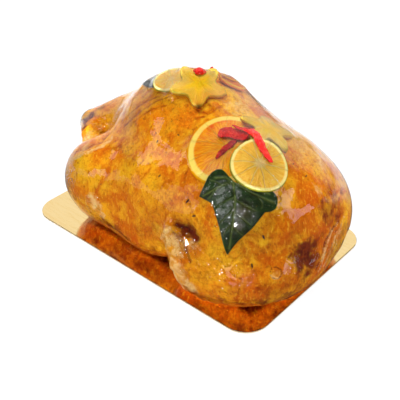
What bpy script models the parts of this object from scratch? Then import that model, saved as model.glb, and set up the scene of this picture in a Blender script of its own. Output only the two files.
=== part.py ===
"""Roast goose with citrus, star fruit, pepper and ivy on a gold board.

Metres, +Z up, X along the board. The goose rests on its board, so the whole part
has one frame. Every millimetre size below is named before it is used.
"""

import bmesh
import bpy
import numpy as np
from mathutils import Matrix, Vector
from mathutils.bvhtree import BVHTree

MM = 0.001

BOARD_LENGTH, BOARD_WIDTH, BOARD_CORNER, BOARD_THICK = 300.0, 197.0, 25.0, 2.0
BOARD_BEVEL, CORNER_STEPS = 0.3, 7
CLEARANCE = 0.4
REST_HEIGHT = BOARD_THICK + CLEARANCE

GOOSE_VOXEL = 3.4
GOOSE_TRIANGLES = 7400

# Each lump of the goose: name, centre, radii, yaw in degrees, width of the blend.
LUMPS = (
    ("body", (-9, 14, 76), (96, 70, 85), 0, 0),
    ("neck end", (68, -1, 65), (87, 86, 74), 0, 22),
    ("far breast", (97, 33, 50), (60, 56, 54), 0, 16),
    ("low front", (112, -14, 33), (50, 76, 37), 0, 14),
    ("near thigh", (-60, -45, 49), (63, 41, 52), 20, 22),
    ("far thigh", (-63, 38, 63), (65, 53, 54), -8, 14),
    ("flank", (6, -34, 66), (72, 50, 52), 0, 16),
    ("near side", (-8, -50, 26), (50, 36, 26), 0, 20),
    ("near wing", (85, -61, 26), (48, 35, 33), 14, 12),
)
# Each tapered limb: name, two ends, two radii, width of the blend.
LIMBS = (
    ("far leg", (-90, 19, 85), (-146, -3, 72), 35, 16, 12),
    ("wing stump", (50, -84, 63), (65, -86, 36), 9, 12, 9),
)
# Each hollow: name, centre, radii, yaw and tip in degrees, width of the blend.
HOLLOWS = (
    ("wing hollow", (67, -92, 73), (20, 14, 8), 0, 24, 9),
    ("leg end cut", (-165, -14, 86), (9, 9, 7), 0, 20, 3),
    ("front dimple", (149, -62, 52), (6, 5, 6), 0, 0, 2),
    ("burnt pit", (164, -31, 58), (8, 16, 12), 0, 0, 8),
)


def turn(yaw, tip=0.0):
    return np.array(
        Matrix.Rotation(np.radians(yaw), 3, "Z") @ Matrix.Rotation(np.radians(tip), 3, "Y")
    )


def ellipsoid(points, centre, radii, yaw, tip=0.0):
    """Signed distance to an ellipsoid, near enough for blending."""
    local = (points - np.array(centre, float)) @ turn(yaw, tip)
    radii = np.array(radii, float)
    near = np.linalg.norm(local / radii, axis=1)
    steep = np.linalg.norm(local / radii**2, axis=1) + 1e-9
    return near * (near - 1) / steep


def limb(points, start, end, start_radius, end_radius):
    start, along = np.array(start, float), np.array(end, float) - np.array(start, float)
    part = np.clip((points - start) @ along / (along @ along), 0, 1)
    away = np.linalg.norm(points - start - part[:, None] * along, axis=1)
    return away - (start_radius + (end_radius - start_radius) * part)


def blend(first, second, width):
    share = np.clip(0.5 + 0.5 * (second - first) / width, 0, 1)
    return second + (first - second) * share - width * share * (1 - share)


def goose_distance(points):
    """Millimetres outside (+) or inside (-) the goose at each point."""
    whole = None
    for _, centre, radii, yaw, width in LUMPS:
        one = ellipsoid(points, centre, radii, yaw)
        whole = one if whole is None else blend(whole, one, width)
    for _, start, end, start_radius, end_radius, width in LIMBS:
        whole = blend(whole, limb(points, start, end, start_radius, end_radius), width)
    for _, centre, radii, yaw, tip, width in HOLLOWS:
        whole = -blend(-whole, ellipsoid(points, centre, radii, yaw, tip), width)
    return -blend(-whole, points[:, 2] - REST_HEIGHT, 3.0)


def goose_slope(points):
    step = 0.2
    slope = np.empty_like(points)
    for axis in range(3):
        aside = np.zeros(3)
        aside[axis] = step
        slope[:, axis] = goose_distance(points + aside) - goose_distance(points - aside)
    return slope / (2 * step)


def settle(points, rounds=8):
    """Moves each point along the slope onto the surface of the goose."""
    for _ in range(rounds):
        slope = goose_slope(points)
        size = np.maximum((slope**2).sum(axis=1), 0.2)
        step = slope * (goose_distance(points) / size)[:, None]
        points = points - np.clip(step, -4, 4)
    return points


def relax(mesh, rounds):
    """Evens out the mesh while it keeps to the surface of the goose."""
    points = settle(mesh_points(mesh))
    ends = np.array([edge.vertices[:] for edge in mesh.edges])
    count = np.bincount(ends.ravel(), minlength=len(points))[:, None]
    for _ in range(rounds):
        total = np.zeros_like(points)
        np.add.at(total, ends[:, 0], points[ends[:, 1]])
        np.add.at(total, ends[:, 1], points[ends[:, 0]])
        points = settle(0.5 * (points + total / count), 2)
    mesh.vertices.foreach_set("co", (points * MM).ravel())
    mesh.update()


def clear_scene():
    for obj in list(bpy.data.objects):
        bpy.data.objects.remove(obj, do_unlink=True)


def material(name, colour, roughness, metallic=0.0, coat=0.0):
    made = bpy.data.materials.new(name)
    made.use_nodes = True
    shader = made.node_tree.nodes["Principled BSDF"]
    shader.inputs["Base Color"].default_value = (*colour, 1)
    shader.inputs["Roughness"].default_value = roughness
    shader.inputs["Metallic"].default_value = metallic
    shader.inputs["Coat Weight"].default_value = coat
    made.diffuse_color = (*colour, 1)
    return made


def add(name, mesh, look, home):
    obj = bpy.data.objects.new(name, mesh)
    home.objects.link(obj)
    mesh.materials.clear()
    mesh.materials.append(material(name, *look))
    return obj


def evaluated_mesh(obj):
    bpy.context.view_layer.update()
    graph = bpy.context.evaluated_depsgraph_get()
    return bpy.data.meshes.new_from_object(obj.evaluated_get(graph))


def mesh_points(mesh):
    points = np.empty(len(mesh.vertices) * 3)
    mesh.vertices.foreach_get("co", points)
    return points.reshape(-1, 3) / MM


def board_mesh():
    """A plate with round corners and a fine bevel on both long edges."""
    half_x, half_y = BOARD_LENGTH / 2 - BOARD_CORNER, BOARD_WIDTH / 2 - BOARD_CORNER
    shape = bmesh.new()
    rings = []
    levels = (
        (BOARD_BEVEL, 0.0),
        (0.0, BOARD_BEVEL),
        (0.0, BOARD_THICK - BOARD_BEVEL),
        (BOARD_BEVEL, BOARD_THICK),
    )
    for inset, height in levels:
        ring = []
        for quarter, (side_x, side_y) in enumerate(((1, 1), (-1, 1), (-1, -1), (1, -1))):
            for step in range(CORNER_STEPS + 1):
                angle = np.pi / 2 * (quarter + step / CORNER_STEPS)
                reach = BOARD_CORNER - inset
                x = side_x * half_x + reach * np.cos(angle)
                y = side_y * half_y + reach * np.sin(angle)
                ring.append(shape.verts.new((x * MM, y * MM, height * MM)))
        rings.append(ring)
    for low, high in zip(rings, rings[1:]):
        for i, corner in enumerate(low):
            j = (i + 1) % len(low)
            shape.faces.new((corner, low[j], high[j], high[i]))
    shape.faces.new(rings[-1])
    shape.faces.new(rings[0][::-1])
    mesh = bpy.data.meshes.new("board")
    shape.to_mesh(mesh)
    shape.free()
    return mesh


def goose_mesh(home):
    """Overlapping round lumps made one skin, thinned out and settled on the blended form."""
    shape = bmesh.new()
    for _, centre, radii, yaw, _ in LUMPS:
        place = Matrix.Translation(Vector(centre) * MM) @ Matrix.Rotation(np.radians(yaw), 4, "Z")
        size = Matrix.Diagonal((*(Vector(radii) * MM), 1))
        bmesh.ops.create_icosphere(shape, subdivisions=5, radius=1, matrix=place @ size)
    for _, start, end, start_radius, end_radius, _ in LIMBS:
        for part in np.linspace(0, 1, 9):
            where = Vector(start).lerp(Vector(end), part) * MM
            reach = (start_radius + (end_radius - start_radius) * part) * MM
            place = Matrix.Translation(where)
            bmesh.ops.create_icosphere(shape, subdivisions=4, radius=reach, matrix=place)
    rough = bpy.data.meshes.new("goose_rough")
    shape.to_mesh(rough)
    shape.free()
    helper = bpy.data.objects.new("goose_helper", rough)
    home.objects.link(helper)
    skin = helper.modifiers.new("skin", "REMESH")
    skin.mode, skin.voxel_size, skin.use_smooth_shade = "VOXEL", GOOSE_VOXEL * MM, True
    fine = evaluated_mesh(helper)
    helper.modifiers.clear()
    relax(fine, 12)
    helper.data = fine
    thin = helper.modifiers.new("thin", "DECIMATE")
    thin.ratio = GOOSE_TRIANGLES / sum(len(face.vertices) - 2 for face in fine.polygons)
    mesh = evaluated_mesh(helper)
    mesh.name = "goose"
    relax(mesh, 2)
    bpy.data.objects.remove(helper, do_unlink=True)
    mesh.shade_smooth()
    return mesh


PICTURE_RIGHT = 40.9
SLICE_GAP = 0.6
LARGE_SLICE = 20

# Each round slice: name, spot on the goose, which way it faces (None is out of the skin),
# half sizes, thickness.
ROUND_SLICES = {
    "orange_slice": ((70, -34), None, (38, 38), 3.5),
    "lemon_slice": ((103, -34), None, (25.5, 24.5), 3.0),
    "top_lemon_slice": ((-25, -3), (-0.18, -0.08, 0.98), (18.5, 16), 3.0),
    "top_orange_slice": ((16, 36), (0.08, 0.48, 0.87), (14, 10), 3.0),
    "top_orange_slice_upper": ((11, 35), (0.08, 0.48, 0.87), (7.5, 5), 1.8),
}
# Each star fruit slice: name, spot, which way it faces, turn of its first arm from the
# picture's right, reach of the arms, of the hollows, thickness.
STARS = {
    "star_fruit_slice": ((85, 1), None, 18, 27, 14, 3.5),
    "top_star_fruit_slice": ((4, 1), (0.299, -0.214, 0.93), 55, 28, 17, 3.6),
}
# The ivy leaf's edge in its own plane, x to the right in the picture; 1 marks a sharp corner.
IVY_SPOT, IVY_THICK = (104, -65), 0.9
IVY_EDGE = (
    (-1, 22, 0), (-12, 33, 0), (-22, 29, 0), (-27, 20, 0), (-33, 9, 1), (-21, 5, 1), (-18, -5, 0),
    (-14, -19, 0), (-11, -33, 0), (-9, -41, 1), (-2, -32, 0), (4, -26, 0), (12, -19, 0),
    (19, -11, 0), (24, -4, 1), (31, -3, 0), (35, 1, 1), (34, 11, 0), (26, 16, 0), (10, 18, 0),
)
DARK_LEAF_SPOT, DARK_LEAF_FACING, DARK_LEAF_TURN = (-50, 3), (-0.2, -0.45, 0.87), 205
DARK_LEAF_LENGTH, DARK_LEAF_WIDTH = 40, 30
# Each pepper strip: name, spine points in the plane of the orange slice, widest half width, thickness.
STRIPS = {
    "pepper_dark_strip": (((8, 5), (-2, -3), (-11, -12)), 3.0, 1.8),
    "pepper_broad_piece": (((-8, 11), (4, 13), (19, 3)), 6.5, 1.8),
    "pepper_arched_strip": (((6, 20), (17, 12), (26, 1), (31, -13), (36.5, -24)), 3.7, 2.0),
}
TOP_BITS = {
    "top_pepper_bit": ((-3, 11), 6.0, 4.6, 4.0),
    "top_pepper_tip": ((-2.5, 26), 2.6, 2.2, 4.5),
}


class Stack:
    """Everything laid down so far, for the next piece to rest on."""

    def __init__(self):
        self.points, self.faces = [], []

    def put(self, obj):
        start = len(self.points)
        self.points += [vertex.co.copy() for vertex in obj.data.vertices]
        self.faces += [[start + i for i in face.vertices] for face in obj.data.polygons]
        self.tree = BVHTree.FromPolygons(self.points, self.faces)

    def above(self, point, down):
        """How far below the point, in millimetres, the stack is met."""
        hit = self.tree.ray_cast(Vector(point) * MM, Vector(down))
        return 200.0 if hit[0] is None else hit[3] / MM


def plane_at(spot, yaw, facing=None):
    """Origin, x, y and normal of the goose's tangent plane, or of a leaning one, below a spot."""
    column = np.array([(*spot, height) for height in np.linspace(170, 0, 681)])
    origin = column[np.argmax(goose_distance(column) < 0)]
    normal = goose_slope(origin[None])[0] if facing is None else np.array(facing)
    normal /= np.linalg.norm(normal)
    x = np.array([np.cos(np.radians(yaw)), np.sin(np.radians(yaw)), 0])
    x -= normal * (x @ normal)
    x /= np.linalg.norm(x)
    return origin, x, np.cross(normal, x), normal


def fan(edge, rings):
    """A grid of rings from the middle out to a closed edge, with its faces."""
    count, middle = len(edge), edge.mean(axis=0)
    points = [middle]
    for ring in range(1, rings + 1):
        points += list(middle + (edge - middle) * ring / rings)
    faces = [(0, 1 + i, 1 + (i + 1) % count) for i in range(count)]
    for ring in range(rings - 1):
        for i in range(count):
            j = (i + 1) % count
            low, high = 1 + ring * count, 1 + (ring + 1) * count
            faces += [(low + i, high + i, high + j), (low + i, high + j, low + j)]
    rim = [1 + (rings - 1) * count + i for i in range(count)]
    return np.array(points), faces, rim


def ribbon(spine, half_width, along=12, across=4):
    """A grid along a smooth spine, narrow at both ends, with its faces."""
    spine = smooth_line([(*point, 0) for point in spine], along, closed=False)
    forward = np.gradient(spine, axis=0)
    side = np.stack([-forward[:, 1], forward[:, 0]], axis=1)
    side /= np.linalg.norm(side, axis=1, keepdims=True)
    part = np.linspace(0, 1, along)
    width = half_width * (0.35 + 0.65 * np.sin(np.pi * part) ** 0.5)
    lanes = np.linspace(-1, 1, across + 1)
    points = np.array([spine[i] + side[i] * width[i] * lane for i in range(along) for lane in lanes])
    wide = across + 1
    faces = []
    for i in range(along - 1):
        for j in range(across):
            a, b = i * wide + j, (i + 1) * wide + j
            faces += [(a, b, b + 1), (a, b + 1, a + 1)]
    rim = [i * wide for i in range(along)]
    rim += [(along - 1) * wide + j for j in range(1, wide)]
    rim += [i * wide + across for i in range(along - 2, -1, -1)]
    rim += list(range(across - 1, 0, -1))
    return points, faces, rim


def smooth_line(corners, count, closed=True):
    """Evenly spaced points on a curve through the corners; a corner marked 1 stays sharp."""
    corners = np.array(corners, float)
    number = len(corners)
    fine = []
    for i in range(number if closed else number - 1):
        here, there = corners[i], corners[(i + 1) % number]
        before = corners[i - 1] if closed or i else here
        after = corners[(i + 2) % number] if closed or i + 2 < number else there
        before = here if here[2] else before
        after = there if there[2] else after
        for part in np.arange(12) / 12:
            slope_in, slope_out = (there - before) / 2, (after - here) / 2
            a, b = 2 * part**3 - 3 * part**2 + 1, part**3 - 2 * part**2 + part
            c, d = 3 * part**2 - 2 * part**3, part**3 - part**2
            fine.append((a * here + b * slope_in + c * there + d * slope_out)[:2])
    fine.append(fine[0] if closed else corners[-1][:2])
    fine = np.array(fine)
    travelled = np.r_[0, np.cumsum(np.linalg.norm(np.diff(fine, axis=0), axis=1))]
    marks = np.linspace(0, travelled[-1], count + 1 if closed else count)[:count]
    return np.stack([np.interp(marks, travelled, fine[:, axis]) for axis in (0, 1)], axis=1)


def bent(points, needed, order):
    """A smooth height over each point that clears what the sheet needs, by as little as it can."""
    u, v = points[:, 0] / 30, points[:, 1] / 30
    terms = np.stack([u**i * v**j for i in range(order + 1) for j in range(order + 1 - i)], axis=1)
    weight = np.ones(len(points))
    for _ in range(30):
        root = np.sqrt(weight)
        shape = np.linalg.lstsq(terms * root[:, None], needed * root, rcond=None)[0]
        spare = terms @ shape - needed
        weight = np.where(spare < 0, 40.0, 1.0)
    return terms @ shape + max(0.0, -spare.min())


def lay(name, grid, plane, thickness, stack, give=2.0, order=2, crown=None):
    """A sheet of even thickness laid on the stack, bent as its order allows; 0 keeps it flat."""
    points, faces, rim = grid
    origin, x, y, normal = plane
    aside = [(0, 0)] + [
        (give * np.cos(turned), give * np.sin(turned)) for turned in np.arange(8) * np.pi / 4
    ]
    needed = np.full(len(points), -1e9)
    for i, (u, v) in enumerate(points):
        for du, dv in aside:
            start = origin + x * (u + du) + y * (v + dv) + normal * 60
            needed[i] = max(needed[i], 60 - stack.above(start, -normal) + SLICE_GAP)
    height = bent(points, needed, order)
    top = np.full(len(points), thickness) if crown is None else thickness * crown
    flat = origin + points[:, :1] * x + points[:, 1:] * y
    low, high = flat + height[:, None] * normal, flat + (height + top)[:, None] * normal
    size = len(points)
    solid = [tuple(face[::-1]) for face in faces]
    solid += [tuple(size + i for i in face) for face in faces]
    for i, corner in enumerate(rim):
        after = rim[(i + 1) % len(rim)]
        solid += [(corner, after, size + after), (corner, size + after, size + corner)]
    mesh = bpy.data.meshes.new(name)
    mesh.from_pydata([tuple(point * MM) for point in (*low, *high)], [], solid)
    mesh.update()
    return mesh


def ring_edge(half_x, half_y, count=30):
    angle = np.arange(count) * 2 * np.pi / count
    return np.stack([half_x * np.cos(angle), half_y * np.sin(angle)], axis=1)


def star_edge(reach, hollow, arms=5, count=40):
    angle = np.arange(count) * 2 * np.pi / count
    swell = (0.5 + 0.5 * np.cos(arms * angle)) ** 1.2
    radius = hollow + (reach - hollow) * swell
    return np.stack([radius * np.cos(angle), radius * np.sin(angle)], axis=1)


def leaf_edge(length, width, count=24):
    angle = np.arange(count) * 2 * np.pi / count
    x = length / 2 * np.cos(angle)
    taper = 1 - 0.45 * np.cos(angle)
    return np.stack([x, width / 2 * np.sin(angle) * np.abs(np.sin(angle)) ** 0.3 * taper], axis=1)


def main():
    clear_scene()
    home = bpy.data.collections.new("roast_goose")
    bpy.context.scene.collection.children.link(home)
    stack = Stack()

    def keep(name, mesh, look):
        stack.put(add(name, mesh, look, home))

    orange, lemon = ((0.95, 0.4, 0.02), 0.35, 0.0, 0.5), ((0.9, 0.66, 0.08), 0.35, 0.0, 0.5)
    star, red = ((0.72, 0.56, 0.06), 0.35, 0.0, 0.5), ((0.75, 0.03, 0.01), 0.3, 0.0, 0.5)
    green, dark = ((0.02, 0.07, 0.015), 0.35, 0.0, 0.5), ((0.015, 0.015, 0.01), 0.4)
    keep("board", board_mesh(), ((0.83, 0.6, 0.28), 0.12, 1.0))
    keep("goose", goose_mesh(home), ((0.8, 0.36, 0.05), 0.3, 0.0, 0.6))

    def round_slice(name, look):
        spot, facing, (half_x, half_y), thickness = ROUND_SLICES[name]
        grid = fan(ring_edge(half_x, half_y), 4 if half_x > LARGE_SLICE else 3)
        plane = plane_at(spot, PICTURE_RIGHT, facing)
        order = 2 if facing is None else 1
        keep(name, lay(name, grid, plane, thickness, stack, order=order), look)

    def star_slice(name):
        spot, facing, first_arm, reach, hollow, thickness = STARS[name]
        grid = fan(star_edge(reach, hollow), 4)
        plane = plane_at(spot, PICTURE_RIGHT + first_arm, facing)
        order = 2 if facing is None else 1
        keep(name, lay(name, grid, plane, thickness, stack, order=order), star)

    round_slice("orange_slice", orange)
    star_slice("star_fruit_slice")
    ivy = fan(smooth_line(IVY_EDGE, 44), 4)
    ivy_plane = plane_at(IVY_SPOT, PICTURE_RIGHT)
    keep("ivy_leaf", lay("ivy_leaf", ivy, ivy_plane, IVY_THICK, stack, order=4), green)
    round_slice("lemon_slice", lemon)
    plane = plane_at(ROUND_SLICES["orange_slice"][0], PICTURE_RIGHT)
    for name, (spine, half_width, thickness) in STRIPS.items():
        grid = ribbon(spine, half_width)
        lanes = np.tile(np.linspace(-1, 1, 5), len(grid[0]) // 5)
        crown = 0.55 + 0.45 * np.sqrt(1 - lanes**2)
        keep(name, lay(name, grid, plane, thickness, stack, 1.6, 3, crown), red)

    dark_plane = plane_at(DARK_LEAF_SPOT, DARK_LEAF_TURN, DARK_LEAF_FACING)
    grid = fan(leaf_edge(DARK_LEAF_LENGTH, DARK_LEAF_WIDTH), 2)
    keep("top_dark_leaf", lay("top_dark_leaf", grid, dark_plane, IVY_THICK, stack), dark)
    round_slice("top_lemon_slice", lemon)
    round_slice("top_orange_slice", orange)
    round_slice("top_orange_slice_upper", orange)
    star_slice("top_star_fruit_slice")
    for name, (spot, half_x, half_y, thickness) in TOP_BITS.items():
        edge = ring_edge(half_x, half_y, 12) * (1 + 0.12 * np.cos(np.arange(12) * 2.1))[:, None]
        crown = np.r_[1, np.repeat((0.9, 0.45), 12)]
        grid = fan(edge, 2)
        keep(name, lay(name, grid, plane_at(spot, PICTURE_RIGHT), thickness, stack, 1.6, 1, crown), red)


main()
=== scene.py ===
import math

import bmesh
import bpy
import numpy as np
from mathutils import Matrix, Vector, noise
from mathutils.bvhtree import BVHTree


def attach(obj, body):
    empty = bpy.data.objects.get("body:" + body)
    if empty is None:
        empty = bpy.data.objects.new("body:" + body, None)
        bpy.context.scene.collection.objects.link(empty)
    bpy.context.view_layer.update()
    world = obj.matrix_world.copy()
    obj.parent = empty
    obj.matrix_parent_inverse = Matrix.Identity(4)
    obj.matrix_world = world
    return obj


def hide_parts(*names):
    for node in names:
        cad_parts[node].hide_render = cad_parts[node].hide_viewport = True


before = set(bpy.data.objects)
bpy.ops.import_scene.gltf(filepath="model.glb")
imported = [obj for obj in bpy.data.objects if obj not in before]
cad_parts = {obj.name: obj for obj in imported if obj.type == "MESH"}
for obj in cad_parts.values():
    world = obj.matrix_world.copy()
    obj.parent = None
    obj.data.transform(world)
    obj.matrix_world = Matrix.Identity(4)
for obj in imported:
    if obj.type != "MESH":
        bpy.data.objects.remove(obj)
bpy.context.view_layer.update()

# A roast goose under clear shrink film on a gold board. Lengths are in metres, and the places
# named by a pixel are those of the 400 x 400 photograph, sent through its camera onto the form.
SCENE = bpy.context.scene
MM = 0.001
WHITE = (1, 1, 1, 1)
GOOSE_MIDDLE = Vector((0.0, 0.0, 0.06))

CAMERA_PLACE = Vector((0.40044, -0.45362, 0.44846))
CAMERA_TURN = (55.39, 0, 40.92)
CAMERA_LENS = 63.34
# The camera's own right, up and forward, which send a pixel's place out as a ray.
PICTURE_RIGHT = Vector((0.755672, 0.654951, 0))
PICTURE_UP = Vector((-0.372037, 0.429250, 0.823002))
PICTURE_IN = Vector((-0.539026, 0.621920, -0.568038))
FOCAL_PIXELS = 703.79
PICTURE_MIDDLE = 200
# The way over the floor that the camera looks.
BEHIND = (-0.655, 0.756, 0.0)

# Each soft box: azimuth and elevation it is seen in from the goose, width, height, radiance.
SOFT_BOXES = {
    "left_box": ((-151, 29), 0.26, 0.14, 1.8),
    "edge_glow": ((-130, 5), 0.50, 0.24, 0.7),
    "right_box": ((14, 12), 0.60, 0.34, 2.9),
    "near_box": ((-80, 14), 0.22, 0.32, 1.9),
    "lobe_box": ((-119, 13), 0.18, 0.26, 2.2),
    "near_spark": ((-67, 19), 0.08, 0.10, 100.0),
    "left_spark": ((-96, 6), 0.05, 0.07, 90.0),
    "right_spark": ((40, 34), 0.07, 0.07, 90.0),
}
BOX_DISTANCE = 1.2
# Fill lights that no surface mirrors: azimuth and elevation, side, distance, power.
FILLS = {
    "overhead_fill": ((-75, 72), 1.6, 1.6, 28.5),
    "front_fill": ((-55, 30), 1.2, 1.8, 2),
    "low_fill": ((-95, 8), 0.4, 1.8, 2.5),
    "low_right_fill": ((-15, 8), 0.4, 1.8, 3),
    "right_fill": ((15, 35), 0.9, 1.8, 10),
    "left_fill": ((-150, 8), 0.5, 1.8, 4),
    "back_fill": ((120, 35), 1.2, 1.8, 12),
    "rear_left_fill": ((170, 40), 1.0, 1.8, 15),
}
# Light that the foil throws up under the goose: middle, length along x, length along y.
FOIL_BOUNCE = {
    "near_bounce": ((0.0, -0.084), 0.290, 0.024),
    "right_bounce": ((0.141, 0.0), 0.016, 0.170),
    "far_bounce": ((0.0, 0.086), 0.290, 0.022),
    "left_bounce": ((-0.139, 0.0), 0.020, 0.170),
}
BOUNCE_RADIANCE = 1.7
BOUNCE_HEIGHT = 0.0026
BACKDROP_WHITE = 0.98
SURROUND_DARK = 0.05
FLOOR_REACH = 12.0
FLOOR_LEVEL = -0.0003

# Marks on the skin: pixel across, pixel down, radius in mm, strength.
MARKS = {
    "yellow": (
        (82, 165, 18, 1.0), (100, 182, 16, 0.9), (122, 172, 20, 0.8), (150, 182, 16, 0.6),
        (150, 160, 12, 0.6), (206, 196, 10, 0.5), (170, 186, 10, 0.5), (125, 150, 12, 0.5),
        (216, 252, 12, 0.8), (226, 262, 9, 0.7), (262, 243, 5, 1.0), (240, 268, 12, 0.6),
        (196, 262, 9, 0.5), (268, 228, 9, 0.5), (232, 230, 12, 0.5), (110, 160, 12, 0.5),
    ),
    "orange": (
        (160, 113, 17, 0.9), (186, 118, 16, 0.9), (140, 121, 13, 0.7), (206, 116, 12, 0.6),
        (145, 228, 17, 0.5), (135, 238, 14, 0.6), (250, 292, 15, 0.8), (216, 288, 10, 0.5),
        (306, 212, 12, 0.6), (310, 190, 14, 0.5), (116, 127, 4, 1.0), (280, 285, 12, 0.6),
    ),
    "amber": (
        (312, 200, 15, 0.8), (300, 215, 12, 0.6), (318, 240, 14, 0.9), (262, 292, 16, 0.8),
        (240, 296, 14, 0.8), (215, 292, 11, 0.6), (285, 285, 14, 0.8), (146, 232, 15, 0.7),
        (133, 240, 13, 0.8), (118, 222, 10, 0.6), (160, 202, 10, 0.4), (150, 118, 11, 0.5),
        (135, 137, 9, 0.5), (190, 116, 13, 0.6), (222, 100, 10, 0.6), (245, 228, 9, 0.5),
        (268, 262, 10, 0.6), (290, 240, 10, 0.8), (330, 190, 12, 0.6), (325, 225, 14, 0.9),
        (222, 184, 8, 0.5), (176, 152, 8, 0.4), (105, 150, 10, 0.5), (116, 168, 8, 0.5),
        (199, 150, 6, 0.5), (188, 190, 7, 0.4), (298, 292, 12, 0.8), (170, 214, 8, 0.4),
        # The amber marks in this row and the next darken the right end and the bottom edge: painted shade.
        (338, 235, 14, 0.9), (330, 250, 13, 0.9), (322, 266, 12, 0.9), (312, 280, 12, 0.9),
        (341, 212, 11, 0.8), (276, 301, 13, 0.8), (250, 305, 12, 0.8), (225, 303, 10, 0.7),
    ),
    "brown": (
        # The brown marks at the wing hollow and along the thigh's lower edge, and those at the right end and
        # along the bottom edge, are painted shade; the rest are brown stains.
        (177, 224, 6, 0.9), (188, 231, 7, 1.0), (197, 239, 5, 0.8), (74, 198, 4, 0.8),
        (80, 209, 6, 1.0), (92, 219, 7, 1.0), (106, 224, 8, 1.0), (118, 229, 7, 0.9),
        (334, 204, 9, 0.8), (338, 217, 8, 0.9), (326, 217, 6, 0.7), (341, 193, 7, 0.6),
        (318, 206, 6, 0.4), (120, 147, 5, 0.6), (113, 156, 4, 0.4), (262, 303, 9, 0.9),
        (240, 304, 8, 0.8), (222, 300, 7, 0.6), (285, 297, 8, 0.8), (262, 250, 4, 0.5),
        (270, 246, 5, 0.5), (215, 165, 5, 0.3), (98, 128, 5, 0.4), (222, 103, 6, 0.3),
        (304, 253, 17, 0.55), (262, 292, 13, 0.35), (236, 294, 12, 0.3), (300, 283, 12, 0.4),
        (329, 212, 14, 0.85), (335, 196, 12, 0.6), (276, 255, 9, 0.3), (186, 230, 11, 0.5),
        (322, 235, 6, 0.5), (246, 285, 6, 0.3), (155, 248, 6, 0.4), (141, 246, 5, 0.4),
    ),
    "burnt": (
        (304, 250, 10, 1.0), (299, 261, 8, 0.9), (310, 262, 9, 0.9), (314, 245, 8, 0.7),
        # The burnt marks at 186, 229 and 193, 234 darken the wing hollow: painted shade.
        (308, 273, 7, 0.7), (186, 229, 4, 0.7), (193, 234, 4, 0.6), (86, 121, 5.5, 1.0),
        (91, 116, 6, 1.0), (84, 128, 5, 1.0), (229, 307, 6, 0.6), (255, 308, 6, 0.7),
        (305, 256, 9, 1.0), (300, 268, 6, 0.8), (317, 256, 6, 0.7), (294, 256, 5, 0.6),
    ),
    "pale": (
        (167, 232, 6, 0.9), (173, 241, 7, 1.0), (183, 246, 6, 0.8), (177, 252, 6, 0.9),
        (173, 262, 6, 0.9), (180, 272, 6, 0.9), (188, 284, 6, 0.9), (196, 291, 4, 0.6),
        # Some pale marks are painted light: the three on the thigh's glare patch and the small one on the
        # leg's knuckle are painted highlights, and the wide faint ones between the knobs, by the garnish and
        # along the back are painted reflection of the film.
        (91, 198, 7, 0.8), (97, 207, 7, 0.9), (102, 215, 5, 0.8), (82.7, 120, 2, 1.0),
        (240, 108, 14, 0.5), (90, 137, 13, 0.55), (98, 130, 10, 0.4), (86, 146, 9, 0.5),
        (276, 273, 4, 0.6), (168, 240, 7, 1.0), (192, 243, 5, 0.8), (176, 268, 7, 0.9),
        (184, 279, 7, 0.9), (191, 288, 6, 0.9), (262, 122, 14, 0.4), (300, 150, 18, 0.3),
        (197, 246, 5, 0.4),
    ),
}
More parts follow.
